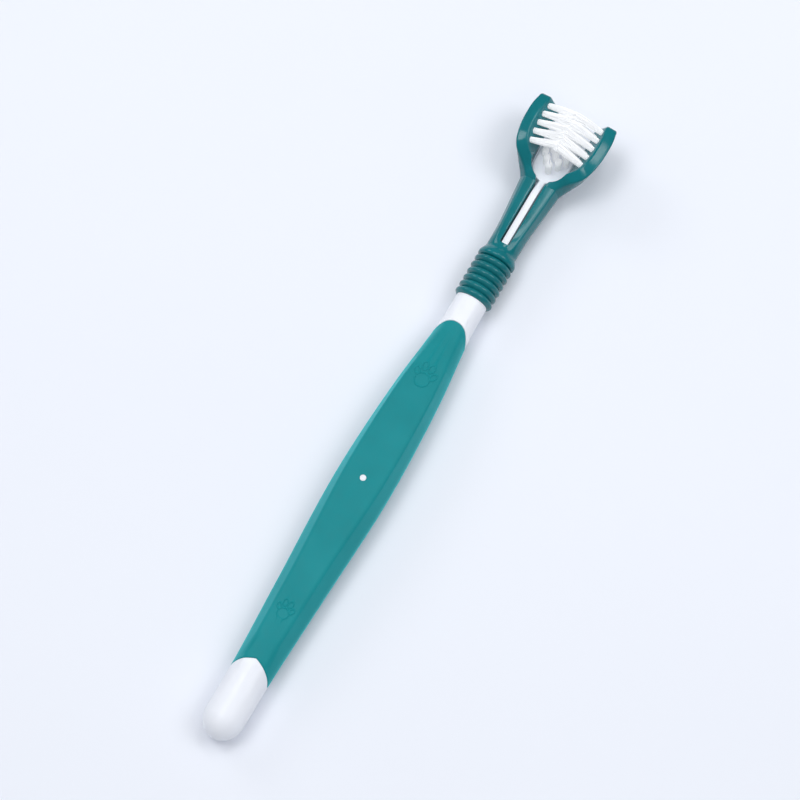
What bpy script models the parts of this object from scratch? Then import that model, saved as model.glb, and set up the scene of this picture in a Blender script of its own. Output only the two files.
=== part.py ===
"""Three-sided pet toothbrush as separate pieces.

The brush lies on Z = 0 with its length along X: the butt is at -X, the head at +X and the bristles point up.
Sizes below are in millimetres and lengths along the brush are counted from the butt end; place() turns them
into metres about the middle of the brush.
"""

import math

import bmesh
import bpy
import numpy as np
from mathutils import Matrix, Vector

# Overall
LENGTH = 205.0
AXIS_HEIGHT = 6.2  # the round neck, the collar and the fork share this centre line
GAP = 0.1  # between pieces that touch

# Handle outline: (distance from the butt, value)
DOME_LENGTH = 6.5
HALF_WIDTHS = ((0, 5.75), (20, 5.85), (45, 6.85), (82, 8.25), (112, 6.9), (134, 4.85), (144, 4.7))
TOP_HEIGHTS = ((0, 11.6), (20, 11.7), (82, 13.0), (115, 12.2), (134, 10.95), (144, 10.9))
FLAT_UNDERSIDE_END = 115.0
NECK_START = 136.0
NECK_UNDERSIDE = 1.5
EDGE_SHARES = ((0, 0.58), (53, 0.59), (84, 0.71), (144, 0.74))
ROUNDNESS = ((0, 1.0), (14, 1.0), (28, 0.08), (112, 0.08), (136, 1.0), (144, 1.0))
FLANK_SHARE = 0.2  # height of the upright flank as a share of the half height
FLANK_CUT = 1.6
EDGE_CUT = 0.8

# Grip: where it starts and stops along the handle, and its thickness
GRIP_START = 18.2
NOTCH_DEPTH = 5.2
NOTCH_HALF_WIDTH = 5.85
NOTCH_POINTEDNESS = 1.6
GRIP_SHOULDER = 124.5
TONGUE_LENGTH = 8.8
TONGUE_HALF_WIDTH = 5.7
TONGUE_POWER = 2.4
GRIP_THICKNESS = 1.6
BOSS_STATION = 80.7
BOSS_RADIUS = 0.9

# Neck joint: spigots of both sides inside the ribbed sleeve
NECK_END = 144.0
SPIGOT_RADIUS = 3.8
CORE_SPIGOT_END = 148.5
FORK_SPIGOT_START = 151.5
SLEEVE_START = 142.0
RIB_COUNT = 6
RIB_PITCH = 2.23
RIB_RADIUS = 5.8
GROOVE_RADIUS = 5.2
FLANGE_LENGTH = 3.1
NECK_RADIUS = 4.7

# Fork neck with its slot: (distance from the butt, half width, half height, roundness)
FORK_NECK = ((159.2, 4.8, 4.6, 1.0), (165, 4.85, 4.3, 0.25), (175.7, 5.7, 4.1, 0.05), (181.8, 6.25, 4.1, 0.05))
FORK_EDGE_SHARE = 0.78
ARM_ROOT = 181.9
SLOT_START = 160.6
SLOT_HALF_WIDTH = 1.45
SLOT_FLOOR = 3.4

# Centre brush: stem and paddle
STEM_TAIL = 156.0
STEM_HALF_WIDTH = 1.0
STEM_BOTTOM = 6.0
STEM_TOP = 9.6
STEM_DROP_START = 178.0
POCKET_TAIL_GAP = 0.2
POCKET_SIDE_GAP = 0.12
POCKET_ROOM_BELOW = 0.4
POCKET_ROOM_ABOVE = 0.2
PADDLE_HALF_WIDTH = 5.4
PADDLE_ROUND_CENTRE = 188.7
PADDLE_STRAIGHT_END = 196.9
PADDLE_END_LENGTH = 3.4
PADDLE_BOTTOM = 4.6
PADDLE_TOP = 7.8
PADDLE_CHAMFER = 0.5
PADDLE_CLEARANCE = 0.5

# Arms: outer edge as (distance from the butt, distance from the middle, turn of the section, rise from root)
ARM_STATIONS = (
    (181.9, 6.25, 0, 0.0),
    (183.2, 7.4, 21, 0.2),
    (184.8, 9.3, 32, 0.53),
    (186.5, 10.95, 29, 0.78),
    (188.3, 11.9, 18, 0.9),
    (190.5, 12.5, 9, 0.965),
    (193.0, 12.95, 4, 0.995),
    (197.5, 13.2, 0, 1.0),
    (201.0, 13.1, 0, 0.97),
    (203.0, 12.8, 0, 0.93),
    (203.9, 12.6, 0, 0.9),
)
ARM_STEPS_PER_STATION = 2
# Section corners as (distance in from the outer edge, height): flank, outer top, inner top, low inner, two below
ROOT_CORNERS = ((0, 6.2), (1.4, 10.3), (4.8, 10.3), (4.8, 6.2), (4.8, 2.1), (1.4, 2.1))
ARM_CORNERS = ((1.0, 12.5), (0, 16.2), (3.4, 16.5), (7.2, 9.2), (6.9, 5.8), (3.4, 5.6))
ARM_CORNER_CUT = 0.7
ARM_TIP_SHRINK = 0.8

# Tufts
TUFT_RADIUS = 0.85
HOLE_RADIUS = 0.95
TUFT_SIDES = 10
HOLE_DEPTH = 2.6
ARM_TUFT_START = 190.7
ARM_TUFT_PITCH = 2.95
UPPER_ROW = 2.45  # down the bristle face from its upper edge
LOWER_ROW = 5.15
UPPER_COUNT = 5
LOWER_COUNT = 4
MIDDLE_GAP = 0.5
CENTRE_ROWS = ((187.0, (0,)), (189.2, (-1.9, 1.9)), (191.4, (-3.4, 0, 3.4)), (193.6, (-1.9, 1.9)),
               (195.8, (-3.4, 0, 3.4)), (198.0, (-1.9, 1.9)))
CENTRE_HOLE_DEPTH = 2.2
CENTRE_TUFT_TOP = 13.6  # in the middle row; the outer ones are trimmed lower
CENTRE_TRIM = 0.47

# Colour, roughness, metallic
WHITE = ((0.86, 0.87, 0.92), 0.4, 0.0)
GRIP_TEAL = ((0.02, 0.27, 0.3), 0.55, 0.0)
HEAD_TEAL = ((0.012, 0.17, 0.2), 0.25, 0.0)
NYLON = ((0.85, 0.87, 0.9), 0.45, 0.0)

ROUND_SIDES = 24


def place(x, y, z):
    """A point in metres from its distance along the brush, its sideways distance and its height."""
    return Vector((x - LENGTH / 2, y, z)) * 0.001


def smooth_value(stations, x):
    """The value at x of a smooth curve through (x, value) stations."""
    xs = np.array([s[0] for s in stations], float)
    values = np.array([s[1] for s in stations], float)
    slopes = np.gradient(values, xs)
    x = min(max(x, xs[0]), xs[-1])
    i = min(max(int(np.searchsorted(xs, x)) - 1, 0), len(xs) - 2)
    span = xs[i + 1] - xs[i]
    t = (x - xs[i]) / span
    start, end = values[i], values[i + 1]
    return float(
        start * (1 + 2 * t) * (1 - t) ** 2
        + end * t * t * (3 - 2 * t)
        + span * (slopes[i] * t * (1 - t) ** 2 - slopes[i + 1] * t * t * (1 - t))
    )


def ease(start, end, x):
    """0 before start, 1 after end, smooth in between."""
    t = min(max((x - start) / (end - start), 0.0), 1.0)
    return t * t * (3 - 2 * t)


def rounded_corner(before, corner, after, cut, steps=2):
    """Points of a curve that rounds a corner off, starting and ending about cut away from it."""
    before, corner, after = (np.array(p, float) for p in (before, corner, after))
    to_before = before - corner
    to_after = after - corner
    start = corner + to_before * min(cut / np.linalg.norm(to_before), 0.48)
    end = corner + to_after * min(cut / np.linalg.norm(to_after), 0.48)
    ts = [k / steps for k in range(steps + 1)]
    return [(1 - t) ** 2 * start + 2 * t * (1 - t) * corner + t * t * end for t in ts]


def section(half_width, half_height, edge_share, roundness):
    """Closed outline (y, z) about the centre: flat top and bottom, bevelled sides, or an ellipse at roundness 1."""
    side = (half_width, 0.0)
    flank = (half_width, FLANK_SHARE * half_height)
    edge = (edge_share * half_width, half_height)
    top = (0.0, half_height)
    quarter = [np.array(side)]
    quarter += rounded_corner(side, flank, edge, FLANK_CUT)
    quarter += rounded_corner(flank, edge, top, EDGE_CUT)
    quarter.append(np.array(top))
    mixed = []
    for y, z in quarter:
        angle = math.atan2(z / half_height, y / half_width)
        round_y = half_width * math.cos(angle)
        round_z = half_height * math.sin(angle)
        mixed.append((y + (round_y - y) * roundness, z + (round_z - z) * roundness))
    upper = mixed + [(-y, z) for y, z in reversed(mixed[:-1])]
    return upper + [(y, -z) for y, z in reversed(upper[1:-1])]


def ring(x, outline, centre_height):
    """An outline (y, z) as points across the brush at x."""
    return [place(x, y, centre_height + z) for y, z in outline]


def handle_ring(x, inset=0.0, scale=1.0):
    """The handle's outer surface at x, or the surface inset below it."""
    half_width = smooth_value(HALF_WIDTHS, x) - inset
    top = smooth_value(TOP_HEIGHTS, x)
    bottom = NECK_UNDERSIDE * ease(FLAT_UNDERSIDE_END, NECK_START, x)
    half_height = (top - bottom) / 2 - inset
    roundness = min(max(smooth_value(ROUNDNESS, x), 0.0), 1.0)
    outline = section(half_width * scale, half_height * scale, smooth_value(EDGE_SHARES, x), roundness)
    return ring(x, outline, (top + bottom) / 2)


def round_ring(x, radius):
    """A circle about the neck's centre line, with as many points as the other sections."""
    return ring(x, section(radius, radius, FORK_EDGE_SHARE, 1.0), AXIS_HEIGHT)


def add_mesh(name, verts, faces, collection):
    """A mesh object whose faces all point out."""
    mesh = bpy.data.meshes.new(name)
    mesh.from_pydata([tuple(v) for v in verts], [], faces)
    bm = bmesh.new()
    bm.from_mesh(mesh)
    bmesh.ops.recalc_face_normals(bm, faces=bm.faces)
    bm.to_mesh(mesh)
    bm.free()
    mesh.shade_smooth()
    mesh.set_sharp_from_angle(angle=math.radians(35))
    obj = bpy.data.objects.new(name, mesh)
    collection.objects.link(obj)
    return obj


def loft(name, rings, collection, start_point=None):
    """A closed solid through rings of equally many points, capped flat or drawn to a point at its start."""
    count = len(rings[0])
    verts = [v for points in rings for v in points]
    faces = []
    for a in range(len(rings) - 1):
        for k in range(count):
            after = (k + 1) % count
            faces.append((a * count + k, a * count + after, (a + 1) * count + after, (a + 1) * count + k))
    last = (len(rings) - 1) * count
    faces.append(tuple(range(last, last + count)))
    if start_point is None:
        faces.append(tuple(reversed(range(count))))
    else:
        verts.append(start_point)
        faces += [(len(verts) - 1, (k + 1) % count, k) for k in range(count)]
    return add_mesh(name, verts, faces, collection)


def prism(name, outline, bottom, top, collection):
    """A plan outline of (x, y) points, drawn up from bottom to top."""
    rings = [[place(x, y, z) for x, y in outline] for z in (bottom, top)]
    return loft(name, rings, collection)


def cylinder(name, start, end, radius, sides, collection):
    """A cylinder between two points given in millimetres along, across and up."""
    start, end = place(*start), place(*end)
    axis = end - start
    bm = bmesh.new()
    bmesh.ops.create_cone(bm, cap_ends=True, segments=sides, radius1=radius * 0.001, radius2=radius * 0.001,
                          depth=axis.length)
    turn = axis.to_track_quat("Z", "Y").to_matrix().to_4x4()
    bmesh.ops.transform(bm, matrix=Matrix.Translation((start + end) / 2) @ turn, verts=bm.verts)
    mesh = bpy.data.meshes.new(name)
    bm.to_mesh(mesh)
    bm.free()
    mesh.shade_smooth()
    mesh.set_sharp_from_angle(angle=math.radians(50))
    obj = bpy.data.objects.new(name, mesh)
    collection.objects.link(obj)
    return obj


def combine(obj, tool, operation):
    """Boolean of obj with tool, which stays in its collection as a wire guide."""
    tool.hide_render = True
    tool.display_type = "WIRE"
    modifier = obj.modifiers.new(f"{operation.lower()} {tool.name}", "BOOLEAN")
    modifier.operation = operation
    modifier.solver = "EXACT"
    modifier.object = tool


def material(name, look):
    """A Principled material from (colour, roughness, metallic)."""
    colour, roughness, metallic = look
    made = bpy.data.materials.new(name)
    made.use_nodes = True
    shader = made.node_tree.nodes["Principled BSDF"]
    shader.inputs["Base Color"].default_value = (*colour, 1.0)
    shader.inputs["Roughness"].default_value = roughness
    shader.inputs["Metallic"].default_value = metallic
    return made


def grip_zone(name, gap, collection):
    """A tall prism over the stretch of handle that the grip wraps, widened by gap."""
    wide = 2 * NOTCH_HALF_WIDTH
    start = GRIP_START - gap
    shoulder = GRIP_SHOULDER + gap
    radius = 1 + NOTCH_POINTEDNESS
    steep = math.acos(NOTCH_POINTEDNESS / radius)
    notch = []
    for k in range(7):
        angle = steep * k / 6
        across = (radius * math.cos(angle) - NOTCH_POINTEDNESS) * NOTCH_HALF_WIDTH
        along = NOTCH_DEPTH * math.sin(angle) / math.sin(steep)
        notch.append((start + along, max(across - gap, 0.0)))
    tongue = []
    for k in range(1, 10):
        angle = math.pi / 2 * k / 9
        across = (TONGUE_HALF_WIDTH + gap) * math.cos(angle) ** (2 / TONGUE_POWER)
        tongue.append((shoulder + TONGUE_LENGTH * math.sin(angle) ** (2 / TONGUE_POWER), across))
    half = [(start, wide), (shoulder, wide), (shoulder, TONGUE_HALF_WIDTH + gap)] + tongue[:-1]
    mirrored = [(x, -y) for x, y in reversed(half)]
    tip = (shoulder + TONGUE_LENGTH, 0.0)
    notch_edge = [(x, -y) for x, y in notch[:-1]] + [(notch[-1][0], 0.0)] + list(reversed(notch[:-1]))
    return prism(name, half + [tip] + mirrored + notch_edge, -3.0, 20.0, collection)


def make_handle_core(parts, cutters):
    """White core: domed butt, spine under the grip with one boss, round neck and spigot."""
    dome = []
    for k in range(1, 6):
        angle = math.pi / 2 * k / 5
        dome.append(handle_ring(DOME_LENGTH * (1 - math.cos(angle)), scale=math.sin(angle)))
    body = [handle_ring(x) for x in (*range(12, 130, 7), *range(130, 143, 3))]
    spigot = [round_ring(NECK_END, NECK_RADIUS), round_ring(NECK_END, SPIGOT_RADIUS),
              round_ring(CORE_SPIGOT_END, SPIGOT_RADIUS)]
    core = loft("handle_core", dome + body + spigot, parts, start_point=place(0, 0, handle_centre(0)))
    recess = grip_zone("grip_recess", GAP, cutters)
    spine = loft("spine", [handle_ring(x, inset=GRIP_THICKNESS) for x in range(10, 141, 10)], cutters)
    combine(recess, spine, "DIFFERENCE")
    combine(core, recess, "DIFFERENCE")
    top = smooth_value(TOP_HEIGHTS, BOSS_STATION)
    boss = cylinder("boss", (BOSS_STATION, 0, top / 2), (BOSS_STATION, 0, top), BOSS_RADIUS, 16, cutters)
    combine(core, boss, "UNION")
    return core


def handle_centre(x):
    """Height of the middle of the handle at x."""
    return (smooth_value(TOP_HEIGHTS, x) + NECK_UNDERSIDE * ease(FLAT_UNDERSIDE_END, NECK_START, x)) / 2


def make_grip(parts, cutters):
    """Soft grip wrapped round the core, with a hole for the core's boss."""
    grip = loft("grip_overmould", [handle_ring(x) for x in range(12, 141, 7)], parts)
    combine(grip, grip_zone("grip_extent", 0.0, cutters), "INTERSECT")
    room = [handle_ring(x, inset=GRIP_THICKNESS - GAP) for x in range(10, 141, 10)]
    combine(grip, loft("spine_room", room, cutters), "DIFFERENCE")
    top = smooth_value(TOP_HEIGHTS, BOSS_STATION)
    hole = cylinder("boss_hole", (BOSS_STATION, 0, top / 2), (BOSS_STATION, 0, top + 1), BOSS_RADIUS + GAP, 16,
                    cutters)
    combine(grip, hole, "DIFFERENCE")
    return grip


def make_sleeve(parts):
    """Ribbed sleeve, turned about the neck's centre line; its bore steps down behind the core's shoulder."""
    end = SLEEVE_START + RIB_COUNT * RIB_PITCH
    outer = [(GROOVE_RADIUS, end)]
    for rib in reversed(range(RIB_COUNT)):
        low = SLEEVE_START + rib * RIB_PITCH
        for share in (0.8, 0.5, 0.2):
            bulge = math.sin(math.pi * share) ** 0.5
            outer.append((GROOVE_RADIUS + (RIB_RADIUS - GROOVE_RADIUS) * bulge, low + share * RIB_PITCH))
        outer.append((GROOVE_RADIUS, low))
    bore = [(NECK_RADIUS + GAP, SLEEVE_START), (NECK_RADIUS + GAP, NECK_END + GAP),
            (SPIGOT_RADIUS + GAP, NECK_END + GAP), (SPIGOT_RADIUS + GAP, end)]
    profile = outer + bore
    mesh = bpy.data.meshes.new("neck_sleeve")
    verts = [(r * 0.001, 0, (x - LENGTH / 2) * 0.001) for r, x in profile]
    count = len(verts)
    mesh.from_pydata(verts, [(k, (k + 1) % count) for k in range(count)], [])
    sleeve = bpy.data.objects.new("neck_sleeve", mesh)
    parts.objects.link(sleeve)
    sleeve.location = (0, 0, AXIS_HEIGHT * 0.001)
    sleeve.rotation_euler = (0, math.radians(90), 0)
    screw = sleeve.modifiers.new("turn", "SCREW")
    screw.steps = ROUND_SIDES
    screw.render_steps = ROUND_SIDES
    screw.use_merge_vertices = True
    screw.merge_threshold = 0.00001
    return sleeve


def make_fork_root(parts, cutters):
    """Fork neck with its spigot and flange, the slot for the stem and the pocket for the stem's tail."""
    flange_start = SLEEVE_START + RIB_COUNT * RIB_PITCH + GAP
    rings = [round_ring(FORK_SPIGOT_START, SPIGOT_RADIUS), round_ring(flange_start, SPIGOT_RADIUS)]
    for share, radius in ((0.0, GROOVE_RADIUS), (0.15, 5.65), (0.4, RIB_RADIUS), (0.65, 5.65), (0.85, 5.1)):
        rings.append(round_ring(flange_start + share * FLANGE_LENGTH, radius))
    for k in range(7):
        x = FORK_NECK[0][0] + (FORK_NECK[-1][0] - FORK_NECK[0][0]) * k / 6
        half_width, half_height, roundness = (
            smooth_value([(s[0], s[column]) for s in FORK_NECK], x) for column in (1, 2, 3)
        )
        rings.append(ring(x, section(half_width, half_height, FORK_EDGE_SHARE, roundness), AXIS_HEIGHT))
    fork = loft("fork_root", rings, parts)
    slot = [(SLOT_START, -SLOT_HALF_WIDTH), (SLOT_START, SLOT_HALF_WIDTH),
            (LENGTH, SLOT_HALF_WIDTH), (LENGTH, -SLOT_HALF_WIDTH)]
    combine(fork, prism("slot", slot, SLOT_FLOOR, 20.0, cutters), "DIFFERENCE")
    across = STEM_HALF_WIDTH + POCKET_SIDE_GAP
    tail = STEM_TAIL - POCKET_TAIL_GAP
    pocket = [(tail, -across), (tail, across), (SLOT_START + 1, across), (SLOT_START + 1, -across)]
    cut = prism("stem_pocket", pocket, STEM_BOTTOM - POCKET_ROOM_BELOW, STEM_TOP + POCKET_ROOM_ABOVE, cutters)
    combine(fork, cut, "DIFFERENCE")
    return fork


def paddle_half_width(x):
    """Half width of the stem or paddle at x."""
    if x < PADDLE_ROUND_CENTRE:
        inside = PADDLE_HALF_WIDTH**2 - (x - PADDLE_ROUND_CENTRE) ** 2
        return max(STEM_HALF_WIDTH, math.sqrt(max(inside, 0.0)))
    beyond = max(x - PADDLE_STRAIGHT_END, 0.0) / PADDLE_END_LENGTH
    return PADDLE_HALF_WIDTH * max(1 - beyond**2, 0.0) ** 0.35


def make_centre_brush(parts, cutters):
    """Stem and paddle, with a blind hole for each of the paddle's tufts."""
    round_start = PADDLE_ROUND_CENTRE - math.sqrt(PADDLE_HALF_WIDTH**2 - STEM_HALF_WIDTH**2)
    stations = [STEM_TAIL, STEM_DROP_START, STEM_DROP_START + 2, STEM_DROP_START + 4, round_start]
    first = math.asin(STEM_HALF_WIDTH / PADDLE_HALF_WIDTH)
    for k in range(1, 7):
        angle = first + (math.pi / 2 - first) * k / 6
        stations.append(PADDLE_ROUND_CENTRE - PADDLE_HALF_WIDTH * math.cos(angle))
    stations += [PADDLE_STRAIGHT_END + PADDLE_END_LENGTH * share for share in (0.0, 0.5, 0.75, 0.9, 0.98)]
    rings = []
    for x in stations:
        drop = ease(STEM_DROP_START, PADDLE_ROUND_CENTRE - PADDLE_HALF_WIDTH + 1, x)
        bottom = STEM_BOTTOM + (PADDLE_BOTTOM - STEM_BOTTOM) * drop
        top = STEM_TOP + (PADDLE_TOP - STEM_TOP) * drop
        wide = paddle_half_width(x)
        narrow = wide - PADDLE_CHAMFER
        low, high = bottom + PADDLE_CHAMFER, top - PADDLE_CHAMFER
        outline = ((wide, low), (wide, high), (narrow, top), (-narrow, top),
                   (-wide, high), (-wide, low), (-narrow, bottom), (narrow, bottom))
        rings.append([place(x, y, z) for y, z in outline])
    brush = loft("centre_brush", rings, parts)
    for index, (x, y) in enumerate(centre_tuft_places()):
        low, high = (x, y, PADDLE_TOP - CENTRE_HOLE_DEPTH), (x, y, PADDLE_TOP + 1)
        hole = cylinder(f"centre_hole_{index:02d}", low, high, HOLE_RADIUS, TUFT_SIDES, cutters)
        combine(brush, hole, "DIFFERENCE")
    return brush


def centre_tuft_places():
    """(x, y) of each tuft on the paddle."""
    return [(x, y) for x, across in CENTRE_ROWS for y in across]


def make_centre_tufts(parts):
    """One solid for each tuft on the paddle, trimmed lower towards the sides."""
    tufts = []
    for index, (x, y) in enumerate(centre_tuft_places()):
        top = CENTRE_TUFT_TOP - CENTRE_TRIM * abs(y)
        low = (x, y, PADDLE_TOP - CENTRE_HOLE_DEPTH + GAP)
        name = f"centre_tuft_{index + 1:02d}"
        tufts.append(cylinder(name, low, (x, y, top), TUFT_RADIUS, TUFT_SIDES, parts))
    return tufts


def arm_values(x):
    """Outer edge distance, section turn in degrees and rise of the arm at x."""
    return [smooth_value([(s[0], s[column]) for s in ARM_STATIONS], x) for column in (1, 2, 3)]


def arm_corner_points(rise):
    """The corners of the arm's section between its root shape and its full shape."""
    root, full = np.array(ROOT_CORNERS, float), np.array(ARM_CORNERS, float)
    return root + (full - root) * min(max(rise, 0.0), 1.0)


def arm_point(x, side, inward, height, values=None):
    """A point of the arm's section: side is 1 on the left (+Y) and -1 on the right."""
    outer, turn, _ = values or arm_values(x)
    turn = math.radians(turn)
    return (x + inward * math.sin(turn), side * (outer - inward * math.cos(turn)), height)


def arm_ring(x, side, scale=1.0, shift=0.0):
    """The arm's rounded section at x, shrunk about its middle by scale and moved along by shift."""
    values = arm_values(x)
    corners = arm_corner_points(values[2])
    count = len(corners)
    outline = []
    for k in range(count):
        outline += rounded_corner(corners[k - 1], corners[k], corners[(k + 1) % count], ARM_CORNER_CUT)
    middle = np.mean(outline, axis=0)
    points = [middle + (p - middle) * scale for p in outline]
    return [place(*arm_point(x, side, n, z, values)) + Vector((shift * 0.001, 0, 0)) for n, z in points]


def face_direction():
    """Unit vectors down the bristle face and out of it, in (inward, up)."""
    upper, lower = np.array(ARM_CORNERS[2]), np.array(ARM_CORNERS[3])
    down = (lower - upper) / np.linalg.norm(lower - upper)
    return down, np.array((-down[1], down[0]))


def arm_tuft_places():
    """(x, distance down the bristle face) of each tuft on an arm."""
    upper = [(ARM_TUFT_START + ARM_TUFT_PITCH * k, UPPER_ROW) for k in range(UPPER_COUNT)]
    lower = [(ARM_TUFT_START + ARM_TUFT_PITCH * (k + 0.5), LOWER_ROW) for k in range(LOWER_COUNT)]
    return upper + lower


def arm_tuft_line(x, row, side):
    """Root of a tuft on the bristle face, and the tuft's direction, both as (along, across, up)."""
    down, out = face_direction()
    inward, height = np.array(ARM_CORNERS[2]) + down * row
    root = np.array((x, side * (arm_values(x)[0] - inward), height))
    return root, np.array((0.0, -side * out[0], out[1]))


def make_arm(name, side, parts, cutters):
    """One curved arm with its tuft holes, cut clear of the paddle."""
    xs = []
    for a, b in zip(ARM_STATIONS, ARM_STATIONS[1:]):
        xs += [a[0] + (b[0] - a[0]) * k / ARM_STEPS_PER_STATION for k in range(ARM_STEPS_PER_STATION)]
    last = ARM_STATIONS[-1][0]
    rings = [arm_ring(x, side) for x in xs + [last]]
    rings.append(arm_ring(last, side, scale=ARM_TIP_SHRINK, shift=LENGTH - last))
    arm = loft(name, rings, parts)
    radius = PADDLE_HALF_WIDTH + PADDLE_CLEARANCE
    outline = [(LENGTH + 5, radius)]
    for k in range(17):
        angle = math.pi * (0.5 + k / 16)
        outline.append((PADDLE_ROUND_CENTRE + radius * math.cos(angle), radius * math.sin(angle)))
    outline.append((LENGTH + 5, -radius))
    combine(arm, prism(f"{name}_paddle_room", outline, -2.0, 25.0, cutters), "DIFFERENCE")
    for index, (x, row) in enumerate(arm_tuft_places()):
        root, out = arm_tuft_line(x, row, side)
        hole = cylinder(f"{name}_hole_{index}", root - out * HOLE_DEPTH, root + out, HOLE_RADIUS, TUFT_SIDES, cutters)
        combine(arm, hole, "DIFFERENCE")
    return arm


def make_arm_tufts(label, side, parts):
    """One solid for each tuft on an arm; each ends just short of the brush's middle plane."""
    tufts = []
    for index, (x, row) in enumerate(arm_tuft_places()):
        root, out = arm_tuft_line(x, row, side)
        reach = (abs(root[1]) - MIDDLE_GAP) / abs(out[1])
        start = root - out * (HOLE_DEPTH - GAP)
        name = f"{label}_tuft_{index + 1:02d}"
        tufts.append(cylinder(name, start, root + out * reach, TUFT_RADIUS, TUFT_SIDES, parts))
    return tufts


def add_pivot(name, point, moved, parent, collection):
    """An empty on a joint's axis that carries the pieces which move about it."""
    pivot = bpy.data.objects.new(name, None)
    collection.objects.link(pivot)
    pivot.location = place(*point)
    bpy.context.view_layer.update()
    for obj in moved:
        obj.parent = pivot
        obj.matrix_parent_inverse = pivot.matrix_world.inverted()
    if parent is not None:
        pivot.parent = parent
        pivot.matrix_parent_inverse = parent.matrix_world.inverted()
    return pivot


def main():
    for obj in list(bpy.data.objects):
        bpy.data.objects.remove(obj)
    parts = bpy.data.collections.new("pet_toothbrush")
    cutters = bpy.data.collections.new("cutters")
    for collection in (parts, cutters):
        bpy.context.scene.collection.children.link(collection)

    core = make_handle_core(parts, cutters)
    grip = make_grip(parts, cutters)
    sleeve = make_sleeve(parts)
    fork = make_fork_root(parts, cutters)
    brush = make_centre_brush(parts, cutters)
    arms = {"left": make_arm("arm_left", 1, parts, cutters), "right": make_arm("arm_right", -1, parts, cutters)}
    centre_tufts = make_centre_tufts(parts)
    arm_tufts = {"left": make_arm_tufts("left", 1, parts), "right": make_arm_tufts("right", -1, parts)}

    looks = {
        "white_plastic": (WHITE, [core, brush]),
        "grip_elastomer": (GRIP_TEAL, [grip]),
        "head_plastic": (HEAD_TEAL, [sleeve, fork, *arms.values()]),
        "nylon": (NYLON, centre_tufts + arm_tufts["left"] + arm_tufts["right"]),
    }
    for name, (look, pieces) in looks.items():
        made = material(name, look)
        for piece in pieces:
            piece.data.materials.append(made)

    neck_middle = ((CORE_SPIGOT_END + FORK_SPIGOT_START) / 2, 0, AXIS_HEIGHT)
    neck_pivot = add_pivot("neck_pivot", neck_middle, [fork], None, parts)
    add_pivot("stem_pivot", (STEM_TAIL, 0, (STEM_BOTTOM + STEM_TOP) / 2), [brush, *centre_tufts], neck_pivot, parts)
    for label, side in (("left", 1), ("right", -1)):
        point = (ARM_ROOT - GAP / 2, side * ARM_STATIONS[0][1], AXIS_HEIGHT)
        add_pivot(f"{label}_arm_pivot", point, [arms[label], *arm_tufts[label]], neck_pivot, parts)


main()
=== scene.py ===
"""Looks of the three-sided pet toothbrush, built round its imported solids.

The brush lies on Z = 0 along X, butt at -X, head at +X, bristles up. Sizes below are in millimetres, and
lengths along the brush are counted from the butt end; place() turns them into metres in the frame of the
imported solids.
"""

import math
import random

import bmesh
import bpy
import numpy as np
from mathutils import Matrix, Vector


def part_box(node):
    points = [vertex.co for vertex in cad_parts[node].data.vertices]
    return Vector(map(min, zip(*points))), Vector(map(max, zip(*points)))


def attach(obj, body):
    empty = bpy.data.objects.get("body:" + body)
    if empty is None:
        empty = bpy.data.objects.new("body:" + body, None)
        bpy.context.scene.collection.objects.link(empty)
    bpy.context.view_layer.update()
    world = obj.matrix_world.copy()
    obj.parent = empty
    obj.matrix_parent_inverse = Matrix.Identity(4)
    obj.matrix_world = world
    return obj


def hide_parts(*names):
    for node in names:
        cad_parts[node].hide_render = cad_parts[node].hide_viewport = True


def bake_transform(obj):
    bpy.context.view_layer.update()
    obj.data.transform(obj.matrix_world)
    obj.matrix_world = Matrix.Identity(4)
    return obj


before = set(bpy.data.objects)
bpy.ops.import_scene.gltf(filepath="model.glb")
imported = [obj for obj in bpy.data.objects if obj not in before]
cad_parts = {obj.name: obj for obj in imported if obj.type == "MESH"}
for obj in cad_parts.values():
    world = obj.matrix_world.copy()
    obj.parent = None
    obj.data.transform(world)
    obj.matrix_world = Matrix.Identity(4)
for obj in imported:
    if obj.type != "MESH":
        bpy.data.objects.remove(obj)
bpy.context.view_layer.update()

MM = 0.001
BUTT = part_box("handle_core")[0].x / MM


def along(node, end):
    """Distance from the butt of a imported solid's near end (0) or far end (1)."""
    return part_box(node)[end].x / MM - BUTT


def middle_height(node):
    """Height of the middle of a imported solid's box."""
    low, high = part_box(node)
    return (low.z + high.z) / 2 / MM


LENGTH = along("arm_left", 1)
AXIS_HEIGHT = middle_height("neck_sleeve")

# Handle outline: (distance from the butt, value)
DOME_LENGTH = 6.5
HALF_WIDTHS = ((0, 5.75), (20, 5.85), (45, 6.85), (82, 8.25), (112, 6.9), (134, 4.85), (144, 4.7))
TOP_HEIGHTS = ((0, 11.6), (20, 11.7), (82, 13.0), (115, 12.2), (134, 10.95), (144, 10.9))
FLAT_UNDERSIDE_END = 115.0
NECK_START = 136.0
NECK_UNDERSIDE = 1.5
EDGE_SHARES = ((0, 0.58), (53, 0.59), (84, 0.71), (144, 0.74))
ROUNDNESS = ((0, 1.0), (14, 1.0), (28, 0.08), (112, 0.08), (136, 1.0), (144, 1.0))
FLANK_SHARE = 0.2
FLANK_CUT = 1.6
EDGE_CUT = 0.8
# Shares of a quarter outline where its flank, flank corner, bevel and edge corner end, and the points on
# each of them; the flat top is the rest
OUTLINE_STOPS = (0.08, 0.28, 0.42, 0.58)
OUTLINE_COUNTS = (3, 7, 5, 7)
CORNER_LIMIT = 0.48  # largest share of a side that a rounded corner takes
SHARP_ANGLE = math.radians(38)
DOME_RINGS = 22
BUTT_STATIONS = (8, 10, 12, 14)
SPINE_STATIONS = range(30, 121, 6)
NECK_STATIONS = (135.5, 137, 139, 141, 142.5)

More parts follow.
